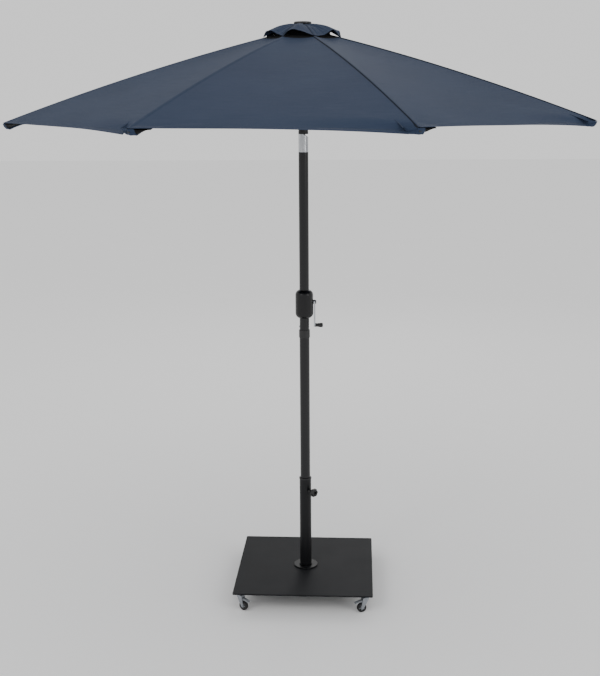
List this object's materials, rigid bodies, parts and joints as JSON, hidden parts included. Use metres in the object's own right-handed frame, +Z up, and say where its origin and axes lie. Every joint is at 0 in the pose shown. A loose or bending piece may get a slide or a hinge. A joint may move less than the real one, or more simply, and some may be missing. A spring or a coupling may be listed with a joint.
{
  "type": "patio umbrella with base",
  "caption": "Crank-and-tilt market umbrella with a vented octagonal canopy on a slim pole, standing in a square steel base plate with a clamp knob and casters.",
  "frame": {"origin": "on the ground under the middle of the base, where the casters stand", "axes": "+Z up along the pole, -Y to the front, +X to the side that carries the crank"},
  "size_m": [2.2264, 2.2264, 2.445],
  "materials": {
    "plate_powder_coat": "satin",
    "tube_powder_coat": "satin",
    "zinc_bolts": "satin",
    "zinc_plate": "satin",
    "black_nylon": "matte",
    "pole_enamel": "satin",
    "crank_case_plastic": "satin",
    "chrome_plate": "polished",
    "crank_aluminium": "satin",
    "handle_plastic": "satin",
    "die_cast_zinc": "matte",
    "canopy_polyester": "matte",
    "braided_cord": "matte",
    "rib_enamel": "satin",
    "wheel_rubber": "matte",
    "brake_plastic": "matte"
  },
  "bodies": {
    "base": {"base_plate": "plate_powder_coat", "base_tube": "tube_powder_coat", "flange_bolts": "zinc_bolts", "clamp_boss": "black_nylon", "caster_mounts": "zinc_plate"},
    "guide_ring": {"guide_ring": "black_nylon"},
    "clamp_stud": {"clamp_stud": "zinc_bolts"},
    "clamp_knob": {"clamp_knob": "black_nylon"},
    "mast": {"lower_pole": "pole_enamel", "pole_foot": "black_nylon", "joint_spigot": "zinc_plate", "joint_collar": "black_nylon", "upper_pole": "pole_enamel", "crank_case_front": "crank_case_plastic", "crank_case_back": "crank_case_plastic", "case_screws": "zinc_bolts", "tilt_lower_sleeve": "chrome_plate", "tilt_pin": "chrome_plate"},
    "snap_button": {"snap_button": "zinc_bolts"},
    "crank": {"winch_drum": "black_nylon", "crank_arm": "crank_aluminium"},
    "crank_handle": {"crank_handle": "handle_plastic"},
    "tilt_button": {"tilt_button": "black_nylon"},
    "top": {"tilt_tongue": "die_cast_zinc", "tilt_ring": "black_nylon", "top_pole": "pole_enamel", "top_hub": "black_nylon", "hub_wire": "zinc_bolts", "finial": "black_nylon", "vent_cap": "canopy_polyester", "canopy": "canopy_polyester", "lift_cord": "braided_cord"},
    "cord_pulley": {"cord_pulley": "handle_plastic"},
    "runner": {"runner": "black_nylon"},
    "rib_1": {"rib_1": "rib_enamel"},
    "strut_1": {"strut_1": "rib_enamel"},
    "rib_2": {"rib_2": "rib_enamel"},
    "strut_2": {"strut_2": "rib_enamel"},
    "rib_3": {"rib_3": "rib_enamel"},
    "strut_3": {"strut_3": "rib_enamel"},
    "rib_4": {"rib_4": "rib_enamel"},
    "strut_4": {"strut_4": "rib_enamel"},
    "rib_5": {"rib_5": "rib_enamel"},
    "strut_5": {"strut_5": "rib_enamel"},
    "rib_6": {"rib_6": "rib_enamel"},
    "strut_6": {"strut_6": "rib_enamel"},
    "rib_7": {"rib_7": "rib_enamel"},
    "strut_7": {"strut_7": "rib_enamel"},
    "rib_8": {"rib_8": "rib_enamel"},
    "strut_8": {"strut_8": "rib_enamel"},
    "fork_front_left": {"fork_front_left": "zinc_plate"},
    "wheel_front_left": {"wheel_front_left": "wheel_rubber"},
    "brake_lever_front_left": {"brake_lever_front_left": "brake_plastic"},
    "fork_front_right": {"fork_front_right": "zinc_plate"},
    "wheel_front_right": {"wheel_front_right": "wheel_rubber"},
    "brake_lever_front_right": {"brake_lever_front_right": "brake_plastic"},
    "fork_rear_left": {"fork_rear_left": "zinc_plate"},
    "wheel_rear_left": {"wheel_rear_left": "wheel_rubber"},
    "fork_rear_right": {"fork_rear_right": "zinc_plate"},
    "wheel_rear_right": {"wheel_rear_right": "wheel_rubber"}
  },
  "joints": [
    {"name": "pole_turn", "type": "hinge", "parent": "base", "child": "guide_ring", "pos_m": [0, 0, 0.504], "axis": [0, 0, 1], "continuous": true},
    {"name": "pole_lift", "type": "slide", "parent": "guide_ring", "child": "mast", "axis": [0, 0, 1], "range_m": [0, 0.4]},
    {"name": "clamp_screw_advance", "type": "slide", "parent": "base", "child": "clamp_stud", "axis": [0.7431, -0.6691, 0], "range_m": [0, 0.0076]},
    {"name": "clamp_knob_turn", "type": "hinge", "parent": "clamp_stud", "child": "clamp_knob", "pos_m": [0.03716, -0.03346, 0.444], "axis": [0.7431, -0.6691, 0], "range_deg": [0, 1800]},
    {"name": "snap_button_press", "type": "slide", "parent": "mast", "child": "snap_button", "axis": [1, 0, 0], "range_m": [0, 0.004], "stiffness_N_per_m": 800, "springref_m": -0.004},
    {"name": "tilt", "type": "hinge", "parent": "mast", "child": "top", "pos_m": [0, 0, 1.993], "axis": [0, 1, 0], "range_deg": [0, 30]},
    {"name": "tilt_button_press", "type": "slide", "parent": "mast", "child": "tilt_button", "axis": [0, 1, 0], "range_m": [0, 0.004], "stiffness_N_per_m": 800, "springref_m": -0.004},
    {"name": "runner_slide", "type": "slide", "parent": "top", "child": "runner", "axis": [0, 0, 1], "range_m": [-0.68869, 0], "deforming": ["canopy", "vent_cap", "lift_cord"]},
    {"name": "crank_turn", "type": "hinge", "parent": "mast", "child": "crank", "pos_m": [0.045, 0, 1.297], "axis": [1, 0, 0], "range_deg": [-3242, 2]},
    {"name": "crank_handle_spin", "type": "hinge", "parent": "crank", "child": "crank_handle", "pos_m": [0.06, 0, 1.196], "axis": [1, 0, 0], "continuous": true},
    {"name": "cord_pulley_turn", "type": "hinge", "parent": "top", "child": "cord_pulley", "pos_m": [0.00046, 0.01399, 2.34], "axis": [-0.9995, 0.0332, 0], "range_deg": [-3658.63, 5]},
    {"name": "rib_1_hinge", "type": "hinge", "parent": "top", "child": "rib_1", "pos_m": [0.03643, -0.01652, 2.398], "axis": [0.4131, 0.9107, 0], "range_deg": [-0.05, 66.2]},
    {"name": "strut_1_hinge", "type": "hinge", "parent": "rib_1", "child": "strut_1", "pos_m": [0.46351, -0.21026, 2.256], "axis": [0.4131, 0.9107, 0], "range_deg": [-132.41, 0.1]},
    {"name": "rib_2_hinge", "type": "hinge", "parent": "top", "child": "rib_2", "pos_m": [0.03744, 0.01407, 2.398], "axis": [-0.3518, 0.9361, 0], "range_deg": [-0.05, 66.2]},
    {"name": "strut_2_hinge", "type": "hinge", "parent": "rib_2", "child": "strut_2", "pos_m": [0.47643, 0.17908, 2.256], "axis": [-0.3518, 0.9361, 0], "range_deg": [-132.41, 0.1]},
    {"name": "rib_3_hinge", "type": "hinge", "parent": "top", "child": "rib_3", "pos_m": [0.01652, 0.03643, 2.398], "axis": [-0.9107, 0.4131, 0], "range_deg": [-0.05, 66.2]},
    {"name": "strut_3_hinge", "type": "hinge", "parent": "rib_3", "child": "strut_3", "pos_m": [0.21026, 0.46351, 2.256], "axis": [-0.9107, 0.4131, 0], "range_deg": [-132.41, 0.1]},
    {"name": "rib_4_hinge", "type": "hinge", "parent": "top", "child": "rib_4", "pos_m": [-0.01407, 0.03744, 2.398], "axis": [-0.9361, -0.3518, 0], "range_deg": [-0.05, 66.2]},
    {"name": "strut_4_hinge", "type": "hinge", "parent": "rib_4", "child": "strut_4", "pos_m": [-0.17908, 0.47643, 2.256], "axis": [-0.9361, -0.3518, 0], "range_deg": [-132.41, 0.1]},
    {"name": "rib_5_hinge", "type": "hinge", "parent": "top", "child": "rib_5", "pos_m": [-0.03643, 0.01652, 2.398], "axis": [-0.4131, -0.9107, 0], "range_deg": [-0.05, 66.2]},
    {"name": "strut_5_hinge", "type": "hinge", "parent": "rib_5", "child": "strut_5", "pos_m": [-0.46351, 0.21026, 2.256], "axis": [-0.4131, -0.9107, 0], "range_deg": [-132.41, 0.1]},
    {"name": "rib_6_hinge", "type": "hinge", "parent": "top", "child": "rib_6", "pos_m": [-0.03744, -0.01407, 2.398], "axis": [0.3518, -0.9361, 0], "range_deg": [-0.05, 66.2]},
    {"name": "strut_6_hinge", "type": "hinge", "parent": "rib_6", "child": "strut_6", "pos_m": [-0.47643, -0.17908, 2.256], "axis": [0.3518, -0.9361, 0], "range_deg": [-132.41, 0.1]},
    {"name": "rib_7_hinge", "type": "hinge", "parent": "top", "child": "rib_7", "pos_m": [-0.01652, -0.03643, 2.398], "axis": [0.9107, -0.4131, 0], "range_deg": [-0.05, 66.2]},
    {"name": "strut_7_hinge", "type": "hinge", "parent": "rib_7", "child": "strut_7", "pos_m": [-0.21026, -0.46351, 2.256], "axis": [0.9107, -0.4131, 0], "range_deg": [-132.41, 0.1]},
    {"name": "rib_8_hinge", "type": "hinge", "parent": "top", "child": "rib_8", "pos_m": [0.01407, -0.03744, 2.398], "axis": [0.9361, 0.3518, 0], "range_deg": [-0.05, 66.2]},
    {"name": "strut_8_hinge", "type": "hinge", "parent": "rib_8", "child": "strut_8", "pos_m": [0.17908, -0.47643, 2.256], "axis": [0.9361, 0.3518, 0], "range_deg": [-132.41, 0.1]},
    {"name": "caster_swivel_front_left", "type": "hinge", "parent": "base", "child": "fork_front_left", "pos_m": [-0.268, -0.268, 0.07], "axis": [0, 0, 1], "continuous": true},
    {"name": "wheel_roll_front_left", "type": "hinge", "parent": "fork_front_left", "child": "wheel_front_left", "pos_m": [-0.25407, -0.27775, 0.0205], "axis": [-0.5736, -0.8192, 0], "continuous": true},
    {"name": "brake_press_front_left", "type": "hinge", "parent": "fork_front_left", "child": "brake_lever_front_left", "pos_m": [-0.25981, -0.27374, 0.05], "axis": [-0.5736, -0.8192, 0], "range_deg": [0, 15]},
    {"name": "caster_swivel_front_right", "type": "hinge", "parent": "base", "child": "fork_front_right", "pos_m": [0.268, -0.268, 0.07], "axis": [0, 0, 1], "continuous": true},
    {"name": "wheel_roll_front_right", "type": "hinge", "parent": "fork_front_right", "child": "wheel_front_right", "pos_m": [0.25224, -0.27437, 0.0205], "axis": [-0.3746, 0.9272, 0], "continuous": true},
    {"name": "brake_press_front_right", "type": "hinge", "parent": "fork_front_right", "child": "brake_lever_front_right", "pos_m": [0.25873, -0.27175, 0.05], "axis": [-0.3746, 0.9272, 0], "range_deg": [0, 15]},
    {"name": "caster_swivel_rear_left", "type": "hinge", "parent": "base", "child": "fork_rear_left", "pos_m": [-0.268, 0.268, 0.07], "axis": [0, 0, 1], "continuous": true},
    {"name": "wheel_roll_rear_left", "type": "hinge", "parent": "fork_rear_left", "child": "wheel_rear_left", "pos_m": [-0.2724, 0.28442, 0.0205], "axis": [0.9659, 0.2588, 0], "continuous": true},
    {"name": "caster_swivel_rear_right", "type": "hinge", "parent": "base", "child": "fork_rear_right", "pos_m": [0.268, 0.268, 0.07], "axis": [0, 0, 1], "continuous": true},
    {"name": "wheel_roll_rear_right", "type": "hinge", "parent": "fork_rear_right", "child": "wheel_rear_right", "pos_m": [0.27598, 0.28301, 0.0205], "axis": [0.8829, -0.4695, 0], "continuous": true}
  ],
  "couplings": [
    {"joint": "clamp_screw_advance", "follows": "clamp_knob_turn", "m_per_rad": 0.00023873},
    {"joint": "crank_turn", "follows": "runner_slide", "rad_per_m": 82.11},
    {"joint": "cord_pulley_turn", "follows": "runner_slide", "rad_per_m": 92.593},
    {"joint": "rib_1_hinge", "follows": "runner_slide", "rad_per_m": -1.6765},
    {"joint": "strut_1_hinge", "follows": "runner_slide", "rad_per_m": 3.353},
    {"joint": "rib_2_hinge", "follows": "runner_slide", "rad_per_m": -1.6765},
    {"joint": "strut_2_hinge", "follows": "runner_slide", "rad_per_m": 3.353},
    {"joint": "rib_3_hinge", "follows": "runner_slide", "rad_per_m": -1.6765},
    {"joint": "strut_3_hinge", "follows": "runner_slide", "rad_per_m": 3.353},
    {"joint": "rib_4_hinge", "follows": "runner_slide", "rad_per_m": -1.6765},
    {"joint": "strut_4_hinge", "follows": "runner_slide", "rad_per_m": 3.353},
    {"joint": "rib_5_hinge", "follows": "runner_slide", "rad_per_m": -1.6765},
    {"joint": "strut_5_hinge", "follows": "runner_slide", "rad_per_m": 3.353},
    {"joint": "rib_6_hinge", "follows": "runner_slide", "rad_per_m": -1.6765},
    {"joint": "strut_6_hinge", "follows": "runner_slide", "rad_per_m": 3.353},
    {"joint": "rib_7_hinge", "follows": "runner_slide", "rad_per_m": -1.6765},
    {"joint": "strut_7_hinge", "follows": "runner_slide", "rad_per_m": 3.353},
    {"joint": "rib_8_hinge", "follows": "runner_slide", "rad_per_m": -1.6765},
    {"joint": "strut_8_hinge", "follows": "runner_slide", "rad_per_m": 3.353}
  ]
}
